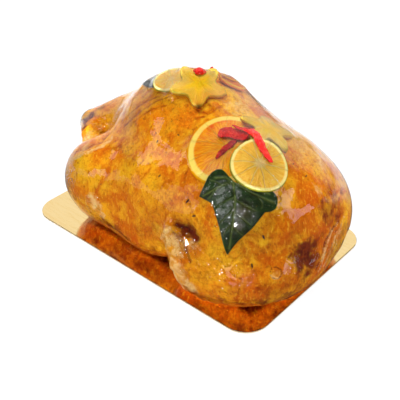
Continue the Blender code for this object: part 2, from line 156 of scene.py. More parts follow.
# Lines on the skin: what they do, half width in mm, depth in mm (up is plus), then the pixels.
LINES = {
    # Painted shade: a dark crack line laid along the thigh's crease.
    "thigh_crease_painted_shade": ("crack", 1.6, -1.4, ((74, 153), (86, 148), (101, 142), (109, 133), (114, 128))),
    "thigh_fold": ("pale", 2.0, 0.8, ((76, 158), (90, 152), (103, 146), (112, 138))),
    "back_crack_a": ("crack", 1.2, -0.5, ((124, 127), (138, 113), (156, 101), (170, 96))),
    "back_crack_b": ("crack", 1.0, -0.5, ((134, 122), (150, 110), (166, 105))),
    "back_crack_c": ("crack", 1.0, -0.4, ((128, 116), (142, 104), (158, 96))),
    "swirl_a": ("crack", 1.3, -0.4, ((188, 100), (196, 105), (199, 112), (210, 113), (222, 106))),
    "swirl_b": ("crack", 1.1, -0.4, ((206, 101), (212, 108), (206, 116), (197, 118))),
    "thigh_line": ("amber", 3.2, -0.3, ((119, 146), (112, 160), (108, 172), (100, 184), (96, 192))),
    "flank_line_a": ("crack", 0.9, -0.4, ((196, 140), (194, 158), (186, 172), (184, 186))),
    "flank_line_b": ("crack", 0.9, -0.4, ((187, 196), (192, 210), (199, 224))),
    "flap_edge": ("pale", 2.4, 1.6, ((166, 231), (163, 238), (168, 248), (172, 262), (176, 274), (186, 288))),
    "flap_fold_a": ("pale", 1.6, 1.5, ((170, 228), (178, 238), (190, 244), (198, 242))),
    "flap_fold_b": ("pale", 1.5, 1.2, ((172, 236), (179, 246), (182, 256))),
    # Painted shade: the wing hollow is drawn dark as well as sunk.
    "hollow_painted_shade": ("burnt", 2.2, -3.0, ((176, 224), (186, 229), (196, 238))),
    "flap_shade": ("brown", 1.8, -1.6, ((174, 233), (184, 242), (186, 250), (190, 262))),
    "lower_shade": ("brown", 2.2, -1.0, ((178, 282), (192, 297), (215, 306), (240, 311), (262, 309))),
    # Painted shade: brown along the thigh's lower edge.
    "thigh_low_painted_shade": ("brown", 4.0, -0.8, ((73, 200), (84, 214), (100, 222), (116, 230), (128, 240))),
    # Painted highlight: a pale crescent in the dimple.
    "dimple_painted_highlight": ("pale", 1.3, 0.9, ((271, 275), (274, 278), (278, 278), (281, 274))),
    "dimple_rim": ("brown", 0.8, -1.0, ((276, 267), (281, 269), (282, 274), (278, 279), (272, 278),
                                       (270, 273), (272, 268), (276, 267))),
    # Painted shade: brown along a crease at the right end.
    "right_crease_shade_a": ("brown", 1.3, -0.8, ((334, 226), (326, 240), (322, 256), (316, 270))),
    # Painted highlights: the pale lines here and below stand for glints on the film's creases at the right
    # end.
    "right_crease_highlight_c": ("pale", 1.0, 0.6, ((336, 222), (330, 236), (325, 252), (318, 272))),
    "right_crease_highlight_d": ("pale", 0.8, 0.5, ((330, 228), (326, 244), (321, 262))),
    "right_crease_highlight_e": ("pale", 0.9, 0.5, ((343, 216), (339, 232), (334, 250))),
    "right_crease_highlight_b": ("pale", 1.2, 0.8, ((341, 224), (334, 238), (330, 252), (323, 266))),
}
# Rolls, bumps and webs that stand out of the skin: radius in mm, how much of it is sunk, then
# pixels. A third number is the place along the length of the goose, for one in front of no skin.
BEADS = {
    "leg_web": (12.0, 0.0, ((94, 127, -130), (93, 134, -125), (93, 141, -118), (93, 148, -110))),
    "flap_roll": (3.4, 0.35, ((166, 230), (164, 236), (167, 243), (170, 250), (171, 257), (173, 264),
                              (177, 271), (181, 278), (186, 285), (192, 290))),
    "flap_fold": (3.0, 0.5, ((169, 227), (174, 231), (179, 237), (185, 242), (192, 243), (197, 243))),
    "flap_crumple": (2.6, 0.4, ((172, 240), (175, 246), (177, 254), (176, 262))),
    "flap_crumple_b": (2.2, 0.15, ((165, 240), (171, 246), (179, 249), (188, 247), (195, 250))),
    "flap_crumple_c": (2.4, 0.2, ((165, 247), (171, 254), (179, 258), (186, 252))),
    "flap_crumple_d": (2.0, 0.1, ((178, 232), (182, 240), (190, 247), (197, 246))),
    "stump_knobs": (4.6, 0.55, ((184, 247), (188, 255), (183, 256))),
    "thigh_hem": (3.2, 0.4, ((75, 203), (79, 209), (85, 214), (92, 218), (100, 221), (108, 224))),
    "leg_knuckle": (4.0, 0.5, ((83, 119), (86, 126))),
}
BEAD_SEED = 3
# The grain at which the beads and the goose are made one skin.
SKIN_GRAIN = 0.0017
HOLLOW_PIXEL = (186, 229)
DIMPLE_PIXEL = (276, 273)
# Where the film is crumpled fine: pixel across, pixel down, radius in mm, strength.
WRINKLES = (
    (235, 195, 15, 0.8), (255, 196, 14, 1.0), (232, 225, 10, 0.5), (188, 252, 11, 1.0),
    (226, 204, 9, 0.4), (333, 245, 16, 0.9), (322, 262, 12, 0.9), (296, 266, 6, 1.0),
    (92, 205, 13, 0.7), (290, 297, 12, 0.7), (176, 238, 9, 0.6), (234, 276, 17, 0.9),
    (70, 178, 12, 0.6), (112, 130, 8, 0.3), (268, 190, 8, 0.8),
)
# Folds in the film, at the right end and then about the garnish and the leg: height and half
# width in mm, then the pixels of each.
FILM_FOLDS = (
    (2.1, 2.2, (
        ((343, 222), (337, 236), (331, 252), (325, 268)), ((337, 224), (330, 240), (324, 256)),
        ((346, 214), (345, 232), (340, 246)), ((322, 236), (318, 252), (313, 268)),
        ((300, 292), (312, 282), (322, 272)), ((278, 300), (292, 296), (306, 286)),
    )),
    (1.1, 1.9, (
        ((229, 188), (232, 192), (233, 198)), ((214, 204), (217, 205), (218, 208)),
        ((246, 186), (251, 193), (257, 197)), ((248, 200), (254, 204), (259, 208)),
        ((261, 206), (265, 210)), ((227, 239), (230, 242), (234, 241)), ((236, 205), (239, 213)),
        ((184, 249), (188, 250)), ((184, 257), (187, 260), (190, 257)), ((294, 266), (298, 264)),
        ((262, 186), (268, 189), (274, 187)), ((92, 194), (97, 204), (101, 214)),
    )),
)
# The film's gap to what it lies on, how far out it is looked for, how often it is drawn
# tighter, and how low it may come.
FILM_GAP = 0.0006
FILM_REACH = 0.016
FILM_PASSES = 400
FILM_LOW = 0.0022

# Each kind of citrus: its material's name, its tones, and where the parts of a slice begin.
CITRUS = {
    "orange": (
        "orange_slice",
        {"flesh": "F6B41A", "deep": "E68806", "wall": "F4C448", "pith": "F8E472", "zest": "F4B404"},
        {"Segments": 11.0, "Zest From": 0.945, "Pith From": 0.80, "Wall Width": 0.07, "Heart Size": 0.05},
    ),
    "deep_orange": (
        "deep_orange_slice",
        {"flesh": "FA9C0A", "deep": "EC760A", "wall": "F2A030", "pith": "FAC824", "zest": "F08C04"},
        {"Segments": 11.0, "Zest From": 0.955, "Pith From": 0.845, "Wall Width": 0.07, "Heart Size": 0.05},
    ),
    "lemon": (
        "lemon_slice",
        {"flesh": "F2CC54", "deep": "E3B038", "wall": "F4E2A0", "pith": "F6EA9C", "zest": "A8A42C"},
        {"Segments": 10.0, "Zest From": 0.955, "Pith From": 0.85, "Wall Width": 0.12, "Heart Size": 0.10},
    ),
}
# Each round slice: its kind of citrus, its slot, and the pixels where juice has reddened it.
ROUND_SLICES = {
    "orange_slice": ("orange", "orange", ((217, 121), (224, 118), (230, 117), (212, 126))),
    "lemon_slice": ("lemon", "lemon", ()),
    "top_lemon_slice": ("lemon", "lemon", ()),
    "top_orange_slice": ("deep_orange", "orange", ()),
    "top_orange_slice_upper": ("deep_orange", "orange", ()),
}
# Each star fruit slice: the pixels of its arms' tips, how pale its ridges are, and the pixels
# where it is thin enough to see through and where its tips are dark.
STAR_SLICES = {
    "star_fruit_slice": (
        ((252.7, 109.6), (275.4, 147.8), (292.9, 152.6), (228, 133), (246, 160)), 1.0,
        (), ((252.7, 109.6), (275.4, 147.8), (292.9, 152.6)),
    ),
    "top_star_fruit_slice": (
        ((181.3, 67.7), (217.3, 70), (224.6, 100.6), (198.9, 106.3), (167.5, 95.6)), 0.25,
        ((224.6, 100.6), (198.9, 106.3), (210, 100)), ((224.6, 100.6), (198.9, 106.3)),
    ),
}
# How dark each piece of pepper is.
PEPPERS = {
    "pepper_dark_strip": 0.75, "pepper_broad_piece": 0.25, "pepper_arched_strip": 0.0,
    "top_pepper_bit": 0.1, "top_pepper_tip": 0.1,
}
IVY_VEINS = (
    ((234, 181), (235, 200), (233, 222), (229, 250)), ((234, 181), (222, 185), (203, 196)),
    ((234, 181), (252, 193), (275, 203)), ((234, 181), (225, 177), (215, 178)),
    ((234, 181), (250, 189), (270, 194)),
)
IVY_BRANCHES = (
    ((235, 197), (225, 201), (217, 207)), ((235, 199), (246, 206), (256, 211)),
    ((234, 210), (226, 216), (221, 222)), ((234, 212), (243, 219), (250, 225)),
    ((232, 224), (226, 230), (223, 236)), ((232, 226), (238, 232), (243, 236)),
    ((222, 185), (214, 181), (210, 180)), ((218, 187), (212, 195), (208, 199)),
    ((252, 193), (258, 188), (262, 187)), ((257, 195), (262, 203), (262, 208)),
)
# The last ring of a slice before its rim, as a share of the way out.
LAST_RING = 0.985
CAST_FROM = 0.06
# How far each ridge of star fruit runs from the middle line of its arm.
RIDGE_GAP = 0.0034
# Herb flecks placed from the photograph: pixel across, pixel down, length in mm.
FLECK_PIXELS = (
    (159.5, 176, 3.2), (187.7, 201, 4.6), (194, 216, 4.0), (263.5, 237, 4.6), (252, 265.6, 4.2),
    (306, 176, 2.8), (178.5, 135, 2.8), (157.5, 141.5, 3.2), (156, 133, 2.0), (130, 118, 1.8),
    (144, 119, 1.8), (101, 184, 1.8), (172, 121, 1.6), (173, 109, 1.4), (180, 107, 1.4),
    (293, 164, 2.0), (245, 233, 2.0), (215, 226, 1.8), (259, 180, 1.8), (221, 213, 1.6),
)
LOOSE_FLECKS = 150
FLECK_SEED = 7


def colour(text):
    """The linear colour of a colour written as six hex digits of sRGB."""
    parts = [int(text[i : i + 2], 16) / 255 for i in (0, 2, 4)]
    return [p / 12.92 if p <= 0.04045 else ((p + 0.055) / 1.055) ** 2.4 for p in parts] + [1.0]


# Shader building


class Nodes:
    """The nodes of a material, world or group, with short ways to add more."""

    def __init__(self, tree, owner=None):
        self.tree, self.owner = tree, owner

    def add(self, kind, ins=None, **settings):
        """A new node, with each named input set to a value or joined to another node's output."""
        made = self.tree.nodes.new(kind)
        for key, value in settings.items():
            setattr(made, key, value)
        for key, value in (ins or {}).items():
            if isinstance(value, bpy.types.NodeSocket):
                self.tree.links.new(value, made.inputs[key])
            else:
                made.inputs[key].default_value = value
        return made

    def placed(self, group_tree, ins):
        return self.add("ShaderNodeGroup", ins, node_tree=group_tree).outputs

    def maths(self, operation, a, b=0.0, c=0.0):
        return self.add("ShaderNodeMath", {0: a, 1: b, 2: c}, operation=operation).outputs[0]

    def times(self, a, b):
        return self.maths("MULTIPLY", a, b)

    def off_middle(self, value):
        """How far a noise is from its middle, which draws thin winding lines."""
        return self.maths("ABSOLUTE", self.maths("SUBTRACT", value, 0.5))

    def ramp(self, value, low, high, to_low=0.0, to_high=1.0):
        ins = {"Value": value, "From Min": low, "From Max": high, "To Min": to_low, "To Max": to_high}
        return self.add("ShaderNodeMapRange", ins, interpolation_type="SMOOTHSTEP").outputs[0]

    def speckle(self, place, scale, detail=3.0, rough=0.55, twist=0.0):
        ins = {"Vector": place, "Scale": scale, "Detail": detail, "Roughness": rough, "Distortion": twist}
        return self.add("ShaderNodeTexNoise", ins).outputs["Fac"]

    def stretched(self, place, scale, turn=(0, 0, 0)):
        ins = {"Vector": place, "Scale": scale, "Rotation": [math.radians(a) for a in turn]}
        return self.add("ShaderNodeMapping", ins).outputs[0]

    def painted(self, name):
        return self.add("ShaderNodeAttribute", attribute_name=name).outputs["Fac"]

    def split(self, value):
        """The x, y and z of a vector."""
        return self.add("ShaderNodeSeparateXYZ", {0: value}).outputs

    def joined(self, x, y, z):
        return self.add("ShaderNodeCombineXYZ", {0: x, 1: y, 2: z}).outputs[0]

    def behind(self, place):
        """How far a place lies beyond the goose, as the camera looks over the floor."""
        ins = {0: place, 1: BEHIND}
        return self.add("ShaderNodeVectorMath", ins, operation="DOT_PRODUCT").outputs["Value"]

    def mixed(self, amount, under, over):
        under, over = (colour(tone) if isinstance(tone, str) else tone for tone in (under, over))
        return self.add("ShaderNodeMix", {0: amount, 6: under, 7: over}, data_type="RGBA").outputs[2]

    def layered(self, tone, *layers):
        """A colour with others laid over it in turn, each by its amount."""
        for amount, over in layers:
            tone = self.mixed(amount, tone, over)
        return tone

    def by_ray(self, kind, other, value):
        """One value for rays of a kind, and another for the rest."""
        is_kind = self.add("ShaderNodeLightPath").outputs[kind]
        return self.add("ShaderNodeMix", {0: is_kind, 2: other, 3: value}, data_type="FLOAT").outputs[0]

    def bump(self, height, depth, normal=None):
        ins = {"Strength": 1.0, "Distance": depth, "Height": height}
        if normal is not None:
            ins["Normal"] = normal
        return self.add("ShaderNodeBump", ins).outputs[0]

    def blended(self, amount, under, over):
        ins = {0: amount, 1: under.outputs[0], 2: over.outputs[0]}
        return self.add("ShaderNodeMixShader", ins)

    def surfaced(self, shader, kind="ShaderNodeOutputMaterial"):
        """The material or world itself, with a shader as its surface."""
        self.add(kind, {"Surface": shader.outputs[0]})
        return self.owner

    def finished(self, base, roughness, normal=None, **constants):
        ins = {"Base Color": base, "Roughness": roughness}
        if normal is not None:
            ins["Normal"] = normal
        for key, value in constants.items():
            ins[key.replace("_", " ")] = value
        return self.surfaced(self.add("ShaderNodeBsdfPrincipled", ins))


def emptied(owner):
    """The nodes of a material or world, with those that it came with taken out."""
    owner.use_nodes = True
    owner.node_tree.nodes.clear()
    return Nodes(owner.node_tree, owner)


def started(name):
    nodes = emptied(bpy.data.materials.new(name))
    return nodes, nodes.add("ShaderNodeTexCoord").outputs["Object"]


def group(name, inputs, fill):
    """A shader node group, filled by a function. An input with no value is a vector."""
    tree = bpy.data.node_groups.new(name, "ShaderNodeTree")
    for label, value in inputs.items():
        kind = "NodeSocketVector" if value is None else "NodeSocketFloat"
        made = tree.interface.new_socket(label, in_out="INPUT", socket_type=kind)
        if value is not None:
            made.default_value = value
    nodes = Nodes(tree)
    results = fill(nodes, nodes.add("NodeGroupInput").outputs)
    for label, value in results.items():
        kind = "NodeSocketVector" if value.type == "VECTOR" else "NodeSocketFloat"
        tree.interface.new_socket(label, in_out="OUTPUT", socket_type=kind)
    nodes.add("NodeGroupOutput", results)
    return tree


def mottle_fill(nodes, given):
    """Mottling at four sizes, from broad stains to fine stipple."""
    twist = given["Twist"]
    return {
        label: nodes.speckle(given["Place"], nodes.times(given["Scale"], size), detail, rough, bend)
        for label, size, detail, rough, bend in (
            ("Broad", 1.0, 3.0, 0.5, twist),
            ("Middle", 4.3, 4.0, 0.6, twist),
            ("Ragged", 8.0, 6.0, 0.7, twist),
            ("Fine", 24.0, 4.0, 0.7, 0.0),
        )
    }


def relief_fill(nodes, given):
    """A normal from fine bumps and from a second, coarser height."""
    grain = nodes.speckle(given["Place"], given["Grain Scale"], 4.0, 0.6)
    fine = nodes.bump(grain, given["Grain Depth"])
    return {"Normal": nodes.bump(given["Form"], given["Form Depth"], fine)}


def fruit_fill(nodes, given):
    """Masks of a round fruit slice: zest, pith, membranes between the segments, and juice sacs."""
    out, segments, x, y = given["Edge"], given["Segments"], *nodes.split(given["Slice"])[:2]
    across, down = (nodes.maths("MULTIPLY_ADD", part, 2.0, -1.0) for part in (x, y))
    turn = nodes.maths("ARCTAN2", down, across)
    wobble = nodes.speckle(given["Slice"], 5.0, 2.0)

    def past(start, width, *to):
        return nodes.ramp(out, start, nodes.maths("ADD", start, width), *to)

    rim = nodes.maths("ADD", given["Pith From"], nodes.maths("MULTIPLY_ADD", wobble, 0.05, -0.025))
    bent = nodes.maths("MULTIPLY_ADD", wobble, 0.22, turn)
    wave = nodes.maths("SINE", nodes.times(bent, nodes.times(segments, 0.5)))
    gap = nodes.times(nodes.maths("ABSOLUTE", wave), out)
    wall = nodes.ramp(gap, 0.02, given["Wall Width"], 1.0, 0.0)
    heart = past(given["Heart Size"], 0.16, 1.0, 0.0)
    spun = nodes.joined(nodes.times(turn, 5.5), nodes.times(out, 1.6), segments)
    return {
        "Zest": past(given["Zest From"], 0.03),
        "Pith": past(rim, 0.05),
        "Wall": nodes.maths("MAXIMUM", wall, heart),
        "Sacs": nodes.speckle(spun, 3.0, 4.0, 0.6, 0.4),
    }


MOTTLE = group("mottle", {"Place": None, "Scale": 14.0, "Twist": 0.6}, mottle_fill)
RELIEF = group(
    "relief",
    {"Place": None, "Grain Scale": 600.0, "Grain Depth": 0.0002, "Form": 0.0, "Form Depth": 0.0005},
    relief_fill,
)
FRUIT = group(
    "fruit_slice",
    {"Slice": None, "Edge": 0.0, "Segments": 10.0, "Zest From": 0.93, "Pith From": 0.82,
     "Wall Width": 0.1, "Heart Size": 0.08},
    fruit_fill,
)


def mottled(nodes, place, scale, twist):
    made = nodes.placed(MOTTLE, {"Place": place, "Scale": scale, "Twist": twist})
    return [made[label] for label in ("Broad", "Middle", "Ragged", "Fine")]


def relief(nodes, place, grain_scale, grain_depth, form, form_depth):
    ins = {"Place": place, "Grain Scale": grain_scale, "Grain Depth": grain_depth,
           "Form": form, "Form Depth": form_depth}
    return nodes.placed(RELIEF, ins)["Normal"]


def fruit_masks(nodes, ins):
    laid_out = nodes.add("ShaderNodeUVMap", uv_map="slice").outputs[0]
    return nodes.placed(FRUIT, {"Slice": laid_out, "Edge": nodes.painted("edge"), **ins})


def skin_material():
    """Roast skin: golden to amber with stipple, stains, burnt and pale places, and fine cracks. Some of the
    amber, brown and burnt places and cracks are painted shade, and some pale places are painted highlights
    and reflection.
    """
    nodes, place = started("roast_skin")
    broad, middle, ragged, fine = mottled(nodes, place, 15.0, 0.8)
    grit = nodes.speckle(place, 190.0, 6.0, 0.72, 0.5)

    def stain(name, low, high, most=1.0):
        """A painted mark with its edge broken up by the grit."""
        mark = nodes.painted(name)
        broken = nodes.maths("MULTIPLY_ADD", nodes.maths("SUBTRACT", grit, 0.5), 1.5, mark)
        return nodes.times(nodes.times(nodes.ramp(broken, low, high), nodes.ramp(mark, 0.02, 0.2)), most)

    blend = nodes.maths("MULTIPLY_ADD", middle, 0.6, nodes.times(broad, 0.4))
    strokes = nodes.stretched(place, (1.5, 1.5, 0.55), (25, 10, 30))
    strokes = nodes.speckle(strokes, 230.0, 4.0, 0.7, 0.7)
    cream = nodes.mixed(nodes.ramp(ragged, 0.4, 0.62), "F5DA96", "DFA243")
    char = nodes.layered(
        nodes.mixed(nodes.ramp(grit, 0.38, 0.6), "4A160E", "8C3812"),
        (nodes.ramp(ragged, 0.5, 0.68, 0.0, 0.7), "B4561A"),
    )
    thread = nodes.ramp(nodes.off_middle(nodes.speckle(place, 70.0, 5.0, 0.6, 1.4)), 0.0, 0.03, 1.0, 0.0)
    # The crack mask also carries painted shade along the thigh's crease.
    crack = nodes.times(nodes.painted("crack"), nodes.ramp(ragged, 0.35, 0.6, 0.2, 0.9))
    lines = nodes.times(thread, nodes.ramp(broad, 0.45, 0.65, 0.04, 0.25))
    lines = nodes.maths("MAXIMUM", crack, lines)
    pores = nodes.add("ShaderNodeTexVoronoi", {"Vector": place, "Scale": 420.0, "Randomness": 1.0})
    # Besides the skin's own marks, the amber, brown and burnt stains here also carry painted shade, and the
    # pale stain carries painted highlights and reflection.
    skin = nodes.layered(
        nodes.mixed(nodes.ramp(blend, 0.42, 0.58), "DA7A0C", "F3B61E"),
        (stain("yellow", 0.2, 0.9, 0.8), "F3C826"),
        (stain("orange", 0.2, 0.9, 0.8), "F08E08"),
        (stain("amber", 0.15, 0.95, 0.75), "CC580E"),
        (nodes.ramp(ragged, 0.52, 0.72, 0.0, 0.65), "C87210"),
        (nodes.ramp(ragged, 0.3, 0.45, 0.55, 0.0), "F3B61C"),
        (nodes.ramp(nodes.times(fine, strokes), 0.26, 0.41, 0.0, 0.85), "B4600C"),
        (nodes.ramp(strokes, 0.32, 0.46, 0.7, 0.0), "F8CC34"),
        (nodes.ramp(broad, 0.56, 0.72, 0.0, 0.5), "D07C12"),
        (stain("pale", 0.15, 0.7, 0.8), cream),
        (stain("brown", 0.15, 0.8, nodes.ramp(ragged, 0.4, 0.6, 0.45, 0.95)), "80320E"),
        (stain("burnt", 0.15, 0.75), char),
        (lines, "A8400A"),
        (nodes.ramp(pores.outputs["Distance"], 0.05, 0.3, 0.15, 0.0), "9C4C0C"),
    )
    height = nodes.maths("SUBTRACT", middle, nodes.times(lines, 0.5))
    return nodes.finished(
        skin, nodes.ramp(fine, 0.3, 0.7, 0.42, 0.6), relief(nodes, place, 420.0, 0.0004, height, 0.0028),
        Specular_IOR_Level=0.03, Subsurface_Weight=0.1, Subsurface_Scale=0.004,
    )


def film_material():
    """Clear tight film: see-through, with a sharp gloss that grows at grazing angles."""
    nodes, place = started("clear_film")
    ripple = nodes.speckle(nodes.stretched(place, (1.0, 1.6, 0.7)), 90.0, 2.0, 0.45)
    wave = nodes.speckle(place, 26.0, 1.0, 0.4)
    ridge = nodes.ramp(nodes.off_middle(nodes.speckle(place, 75.0, 2.0, 0.5, 0.9)), 0.0, 0.09, 1.0, 0.0)
    ridge = nodes.times(ridge, nodes.painted("wrinkle"))
    normal = nodes.bump(wave, 0.0014, nodes.bump(ridge, 0.0016, nodes.bump(ripple, 0.0003)))
    clear = nodes.add("ShaderNodeBsdfTransparent", {"Color": (0.985, 0.98, 0.98, 1)})
    ins = {"Color": WHITE, "Roughness": 0.045, "Normal": normal}
    gloss = nodes.add("ShaderNodeBsdfAnisotropic", ins)
    amount = nodes.add("ShaderNodeFresnel", {"IOR": 1.47, "Normal": normal})
    return nodes.surfaced(nodes.blended(amount.outputs[0], clear, gloss))


def board_material():
    """Gold foil on card: a mirror on top, and a pale cut edge."""
    nodes, place = started("gold_foil")
    facing = nodes.split(nodes.add("ShaderNodeNewGeometry").outputs["True Normal"])[2]
    side = nodes.ramp(nodes.maths("ABSOLUTE", facing), 0.3, 0.6, 1.0, 0.0)
    card = nodes.times(side, nodes.ramp(nodes.split(place)[2], 0.0002, 0.0017, 1.0, 0.4))
    rub = nodes.speckle(nodes.stretched(place, (1.0, 7.0, 1.0), (0, 0, 20)), 40.0, 4.0, 0.7)
    gold = nodes.mixed(nodes.ramp(rub, 0.4, 0.75), "FADC9E", "F7D48F")
    return nodes.finished(
        nodes.mixed(card, gold, "EAD3B0"),
        nodes.maths("MULTIPLY_ADD", card, 0.5, nodes.ramp(rub, 0.35, 0.8, 0.05, 0.11)),
        relief(nodes, place, 900.0, 0.00001, nodes.speckle(place, 22.0, 2.0, 0.4), 0.0007),
        Metallic=nodes.maths("SUBTRACT", 1.0, card),
    )


def citrus_material(name, tones, masks):
    """A citrus slice: zest, pith, membrane, and flesh in a light and a deep tone with radial sacs."""
    nodes, place = started(name)
    parts = fruit_masks(nodes, masks)
    stain = nodes.speckle(place, 60.0, 3.0)
    flesh = nodes.layered(
        nodes.mixed(nodes.ramp(parts["Sacs"], 0.38, 0.6), tones["deep"], tones["flesh"]),
        (nodes.ramp(stain, 0.5, 0.7, 0.0, 0.5), tones["deep"]),
        (nodes.times(parts["Wall"], nodes.ramp(stain, 0.3, 0.6, 0.35, 0.75)), tones["wall"]),
        (nodes.times(nodes.painted("blush"), 0.8), "E2481A"),
        (parts["Pith"], tones["pith"]),
        (parts["Zest"], tones["zest"]),
    )
    height = nodes.maths("SUBTRACT", parts["Sacs"], nodes.times(parts["Wall"], 0.6))
    normal = relief(nodes, place, 700.0, 0.0002, height, 0.0012)
    return nodes.finished(flesh, 0.25, normal, Subsurface_Weight=0.2, Subsurface_Scale=0.003)


def star_fruit_material():
    """A star fruit slice: waxy olive rim, pale ridge bands, and flesh with fibres running out."""
    nodes, place = started("star_fruit")
    out = nodes.painted("edge")
    sacs = fruit_masks(nodes, {"Segments": 5.0})["Sacs"]
    flesh = nodes.layered(
        nodes.mixed(nodes.ramp(sacs, 0.3, 0.7), "DDB030", "EECB48"),
        (nodes.ramp(nodes.speckle(place, 90.0, 3.0), 0.4, 0.7, 0.0, 0.7), "CBB036"),
        (nodes.times(nodes.painted("ridge"), 0.5), "F0DA84"),
        (nodes.ramp(out, 0.15, 0.7, 1.0, 0.0), "F8CE1C"),
        (nodes.times(nodes.painted("thin"), 0.75), "DC9420"),
        (nodes.ramp(out, 0.9, 0.98, 0.0, 0.55), "A89424"),
        (nodes.painted("tip"), "5A3A14"),
    )
    normal = relief(nodes, place, 500.0, 0.0002, sacs, 0.0010)
    return nodes.finished(flesh, 0.28, normal, Subsurface_Weight=0.2, Subsurface_Scale=0.003)


def pepper_material():
    """Red pepper: shiny skin with lengthwise streaks, darker on some pieces than on others."""
    nodes, place = started("red_pepper")
    _, middle, ragged, _ = mottled(nodes, place, 40.0, 0.3)
    red = nodes.layered(
        nodes.mixed(nodes.ramp(middle, 0.35, 0.65), "E8221A", "C81412"),
        (nodes.painted("dark"), "8C0C12"),
        (nodes.ramp(ragged, 0.5, 0.66, 0.0, 0.8), "F2503A"),
    )
    return nodes.finished(red, 0.22, relief(nodes, place, 500.0, 0.0002, middle, 0.002))


def leaf_material(name, deep, light, vein_tone):
    """An ivy leaf: deep green with mottling, lighter along its veins and brown where it is worn."""
    nodes, place = started(name)
    _, middle, _, _ = mottled(nodes, place, 30.0, 0.6)
    vein = nodes.painted("vein")
    green = nodes.layered(
        nodes.mixed(nodes.ramp(middle, 0.35, 0.7), deep, light),
        (nodes.times(nodes.painted("worn"), 0.6), "4A3A14"),
        (nodes.times(vein, 0.45), vein_tone),
    )
    height = nodes.maths("SUBTRACT", middle, vein)
    return nodes.finished(green, 0.3, relief(nodes, place, 900.0, 0.0001, height, 0.0010))


def fleck_material():
    """Dried herb: dark green to brown, changing from fleck to fleck."""
    nodes, place = started("herb_fleck")
    tone = nodes.ramp(nodes.speckle(place, 60.0, 2.0), 0.4, 0.6)
    return nodes.finished(nodes.mixed(tone, "2E2A14", "3E1C0C"), 0.6)


# Mesh building


def merged_mesh(name):
    """A copy of a solid's mesh with its doubled points made one."""
    work = bmesh.new()
    work.from_mesh(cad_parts[name].data)
    bmesh.ops.remove_doubles(work, verts=work.verts, dist=0.000005)
    mesh = bpy.data.meshes.new(name + "_whole")
    work.to_mesh(mesh)
    work.free()
    return mesh


def evaluated(mesh, kind, sockets=None, **settings):
    """A mesh as one modifier leaves it, as a plain mesh."""
    holder = bpy.data.objects.new("holder", mesh)
    SCENE.collection.objects.link(holder)
    modifier = holder.modifiers.new("modifier", kind)
    for key, value in settings.items():
        setattr(modifier, key, value)
    for key, value in (sockets or {}).items():
        modifier[key] = value
    graph = bpy.context.evaluated_depsgraph_get()
    made = bpy.data.meshes.new_from_object(holder.evaluated_get(graph))
    bpy.data.objects.remove(holder)
    return made


def refined(mesh, levels, kind="CATMULL_CLARK"):
    return evaluated(mesh, "SUBSURF", levels=levels, render_levels=levels, subdivision_type=kind)


def vectors_of(mesh, what="co"):
    values = np.empty(len(mesh.vertices) * 3)
    mesh.vertices.foreach_get(what, values)
    return values.reshape(-1, 3)


def put_points(mesh, points):
    mesh.vertices.foreach_set("co", np.ascontiguousarray(points, np.float32).ravel())
    mesh.update()


class Around:
    """Means over each point's neighbours."""

    def __init__(self, mesh):
        ends = np.empty(len(mesh.edges) * 2, np.int64)
        mesh.edges.foreach_get("vertices", ends)
        one, other = ends.reshape(-1, 2).T
        self.start, self.end = np.concatenate([one, other]), np.concatenate([other, one])
        self.size = len(mesh.vertices)
        self.count = np.bincount(self.start, minlength=self.size).clip(1)

    def mean(self, values):
        if values.ndim == 1:
            return np.bincount(self.start, values[self.end], self.size) / self.count
        return np.stack([self.mean(values[:, i]) for i in range(values.shape[1])], 1)


def tree_of(*meshes):
    """The triangles of one mesh or more, to cast rays on."""
    vertices, faces = [], []
    for mesh in meshes:
        mesh.calc_loop_triangles()
        start = len(vertices)
        vertices += [v.co.copy() for v in mesh.vertices]
        faces += [tuple(start + i for i in t.vertices) for t in mesh.loop_triangles]
    return BVHTree.FromPolygons(vertices, faces)


def paint(mesh, name, values):
    layer = mesh.attributes.new(name, "FLOAT", "POINT")
    layer.data.foreach_set("value", np.ascontiguousarray(values, np.float32))


def lay_uv(mesh, name, flat):
    """A UV map from one place for each point."""
    layer = mesh.uv_layers.new(name=name)
    corners = np.empty(len(mesh.loops), np.int64)
    mesh.loops.foreach_get("vertex_index", corners)
    layer.uv.foreach_set("vector", np.ascontiguousarray(flat[corners], np.float32).ravel())


def add_piece(name, mesh, material, slot, *nodes):
    mesh.name = name
    mesh.materials.clear()
    mesh.materials.append(material)
    mesh.shade_smooth()
    piece = bpy.data.objects.new(name, mesh)
    SCENE.collection.objects.link(piece)
    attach(piece, "root")
    if nodes:
        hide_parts(*nodes)
    return piece


def rough(points, size, octaves=3, shift=0.0):
    """Fractal noise at each point, about -1 to 1, with features of the given size."""
    scaled = points / size + shift
    return np.array([noise.fractal(Vector(p), 1.0, 2.0, octaves) for p in scaled])


def sight(across, down):
    """The direction in which the camera sees a pixel of the photograph."""
    right, up = PICTURE_RIGHT * (across - PICTURE_MIDDLE), PICTURE_UP * (down - PICTURE_MIDDLE)
    return (PICTURE_IN * FOCAL_PIXELS + right - up).normalized()


def seen(tree, across, down):
    """Where the camera's view through a pixel meets a form: the place and its normal, or None."""
    place, normal, _, _ = tree.ray_cast(CAMERA_PLACE, sight(across, down))
    return None if place is None else (np.array(place), np.array(normal))


def seen_path(tree, pixels):
    """The places that the camera sees through some pixels, less those that miss."""
    hits = [seen(tree, *pixel) for pixel in pixels]
    return [hit[0] for hit in hits if hit is not None]


def falloff(distance, radius):
    return np.exp(-((distance / radius) ** 2))


def gap_to(points, place):
    return np.linalg.norm(points - place, axis=1)


def line_distance(points, path):
    best = np.full(len(points), np.inf)
    for start, end in zip(path[:-1], path[1:]):
        run = end - start
        along = ((points - start) @ run / max(run @ run, 1e-12)).clip(0, 1)
        best = np.minimum(best, gap_to(points - along[:, None] * run, start))
    return best


